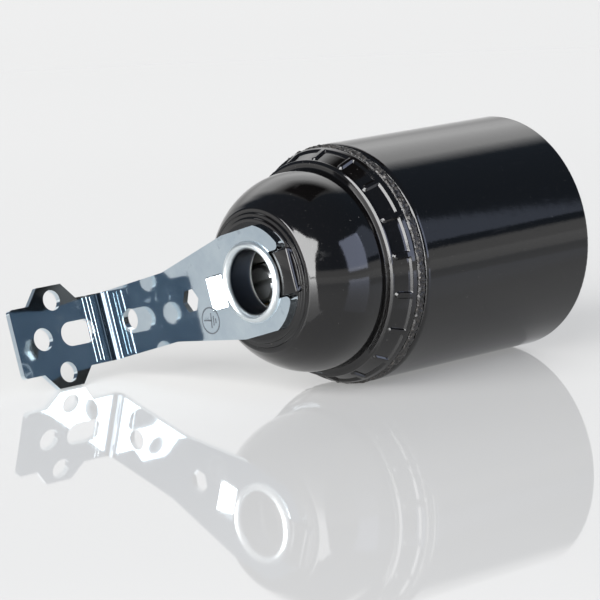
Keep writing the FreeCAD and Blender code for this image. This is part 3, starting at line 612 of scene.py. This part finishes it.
def make_leaf():
    """The spring leaf under the contact button, with its long edges cut finer."""
    mesh = frame["nodes"]["centre_contact"].data.copy()
    mesh.name = "contact_leaf"
    work = bmesh.new()
    work.from_mesh(mesh)
    bmesh.ops.triangulate(work, faces=work.faces)
    bmesh.ops.subdivide_edges(
        work, edges=[edge for edge in work.edges if edge.calc_length() > 1.2 * MM], cuts=3,
        use_grid_fill=True)
    work.to_mesh(mesh)
    work.free()
    return mesh_object("contact_leaf", mesh, BRONZE)


leaf = make_leaf()
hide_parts("centre_contact")
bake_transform(leaf)

thread = make_thread()
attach(thread, "skirt")


def ribbon(work, line, width, depth, height):
    """A thin raised strip along points on the bracket's face, in mm."""
    for first, second in zip(line, line[1:]):
        first, second = Vector(first), Vector(second)
        side = (second - first).normalized().orthogonal() * width / 2
        corners = []
        for level in (depth - height, depth + 0.03):
            for point in (first + side, first - side, second - side, second + side):
                corners.append(work.verts.new(at(level, *point)))
        for face in (
                (3, 2, 1, 0), (4, 5, 6, 7), (0, 1, 5, 4), (1, 2, 6, 5), (2, 3, 7, 6), (3, 0, 4, 7)):
            work.faces.new([corners[index] for index in face])


def make_earth_sign():
    """The standard earth sign in its circle, stamped beside the rivet."""
    work = bmesh.new()
    middle = Vector((12.3, -4.1))
    circle = [
        middle + 2.15 * Vector((math.cos(FULL_TURN * step / 40), math.sin(FULL_TURN * step / 40)))
        for step in range(41)]
    ribbon(work, circle, 0.26, 0.0, 0.02)
    stem = Vector((0.98, 0.20)).normalized()
    bar = Vector((-stem.y, stem.x))
    ribbon(work, [middle + 1.7 * stem, middle - 0.15 * stem], 0.26, 0.0, 0.02)
    for drop, half in ((0.15, 1.25), (0.72, 0.80), (1.25, 0.40)):
        foot = middle - drop * stem
        ribbon(work, [foot - half * bar, foot + half * bar], 0.26, 0.0, 0.02)
    mesh = bpy.data.meshes.new("earth_sign")
    work.to_mesh(mesh)
    work.free()
    return mesh_object("earth_sign", mesh, STAMP_SHADE)


sign = make_earth_sign()
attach(sign, "holder")


def make_tool_marks():
    """Fine lines that the bending tool leaves across the end plate beside the bend."""
    work = bmesh.new()
    draw = random.Random(7)
    for depth, width in ((-4.3, 0.30), (-3.35, 0.14), (-2.6, 0.18)):
        start, end = -5.75 + draw.uniform(0.1, 0.5), 5.75 - draw.uniform(0.1, 0.6)
        corners = []
        for along, spread in ((PLATE - 0.022, 0.35), (PLATE + 0.03, 1.0)):
            for across in (start, end):
                for side in (-0.5, 0.5):
                    corners.append(work.verts.new(at(depth + side * width * spread, along, across)))
        for face in BOX_FACES:
            work.faces.new([corners[index] for index in face])
    mesh = bpy.data.meshes.new("bending_marks")
    work.to_mesh(mesh)
    work.free()
    return mesh_object("bending_marks", mesh, ZINC)


marks = make_tool_marks()
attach(marks, "holder")


# --- Table and light --------------------------------------------------------------------

FLOOR_LEVEL = CAD_BOX[0].z


def table_top():
    """Glossy pale table, which mirrors the object and the pale room."""
    paint = Paint("glossy_table")
    path = paint.node("ShaderNodeLightPath").outputs
    seen = sum(
        (paint.value(path["Is %s Ray" % kind]) for kind in ("Glossy", "Transmission")),
        paint.value(path["Is Camera Ray"])).held()
    glow = paint.blend(seen, (0, 0, 0, 1), (0.23, 0.23, 0.228, 1))
    base = paint.node(
        "ShaderNodeBsdfPrincipled", None, Base_Color=(0.40, 0.395, 0.385, 1), Roughness=0.03,
        IOR=1.45, Emission_Color=glow, Emission_Strength=1.0)
    paint.links.new(base.outputs[0], paint.output.inputs["Surface"])
    return paint.material


mesh = bpy.data.meshes.new("table_top")
REACH = 6.0
corners = [
    (x * REACH, y * REACH, FLOOR_LEVEL - 0.02 * MM)
    for x, y in ((-1, -1), (1, -1), (1, 1), (-1, 1))]
mesh.from_pydata(corners, [], [(0, 1, 2, 3)])
floor = bpy.data.objects.new("table_top", mesh)
scene.collection.objects.link(floor)
mesh.materials.append(table_top())


def soft_box(name, azimuth, low, high, half_width, distance, radiance, tint, skip=()):
    """A soft box that faces the holder, seen between two heights in degrees."""
    lamp = bpy.data.lights.new(name, "AREA")
    lamp.shape = "RECTANGLE"
    middle = math.radians((low + high) / 2)
    lamp.size = 2 * distance * math.tan(math.radians(half_width))
    lamp.size_y = 2 * distance * math.tan(math.radians((high - low) / 2))
    lamp.energy = 4 * radiance * lamp.size * lamp.size_y
    lamp.color = tint
    turn = math.radians(azimuth)
    away = Vector((
        math.cos(turn) * math.cos(middle), math.sin(turn) * math.cos(middle), math.sin(middle)))
    made = bpy.data.objects.new(name, lamp)
    made.location = away * distance
    made.rotation_euler = away.to_track_quat("Z", "Y").to_euler()
    made.visible_camera = False
    scene.collection.objects.link(made)
    if skip:
        reached = bpy.data.collections.new(name + "_reaches")
        for thing in scene.objects:
            if thing.type == "MESH" and thing not in skip:
                reached.objects.link(thing)
        made.light_linking.receiver_collection = reached


metal = [frame["nodes"]["mounting_bracket"], frame["nodes"]["hollow_rivet"], marks]
soft_box("main_soft_box", -168, 0.5, 46, 31, 3.0, 8.0, (1.0, 1.0, 1.0))
soft_box("side_soft_box", -76, 4, 38, 17, 3.0, 2.0, (0.78, 0.86, 1.14), skip=metal)
soft_box("side_fill", -49, 12, 38, 9, 3.0, 0.45, (0.78, 0.88, 1.14), skip=metal)


def make_world():
    """A dark room with a pale backdrop behind the holder and a low pale wall all round."""
    world = bpy.data.worlds.new("studio")
    world.use_nodes = True
    paint = Paint.on(world)
    ray = paint.node("ShaderNodeTexCoord").outputs["Generated"]
    parts = paint.node("ShaderNodeSeparateXYZ", Vector=ray).outputs
    x, y, z = (paint.value(part) for part in parts)
    flat = paint.number("SQRT", x * x + y * y) + 0.0001
    turn = math.radians(50)
    facing = (x * math.cos(turn) + y * math.sin(turn)) / flat
    wall = facing.above(math.cos(math.radians(37)), 0.14)
    level = (0.80 + 0.9 * z.above(0.36, 0.20)) * (1 - z.above(0.78, 0.16))
    colour = paint.blend(wall, (0.075, 0.105, 0.145, 1), (1.0, 1.0, 1.0, 1))
    low_wall = 1 - z.above(0.125, 0.03)
    colour = paint.blend(low_wall, colour, (0.80, 0.80, 0.80, 1))
    strength = (wall * (level - 1)) * (1 - low_wall) + 1
    light = paint.node("ShaderNodeBackground", None, Color=colour, Strength=strength)
    paint.links.new(light.outputs[0], paint.output.inputs["Surface"])
    return world


scene.world = make_world()
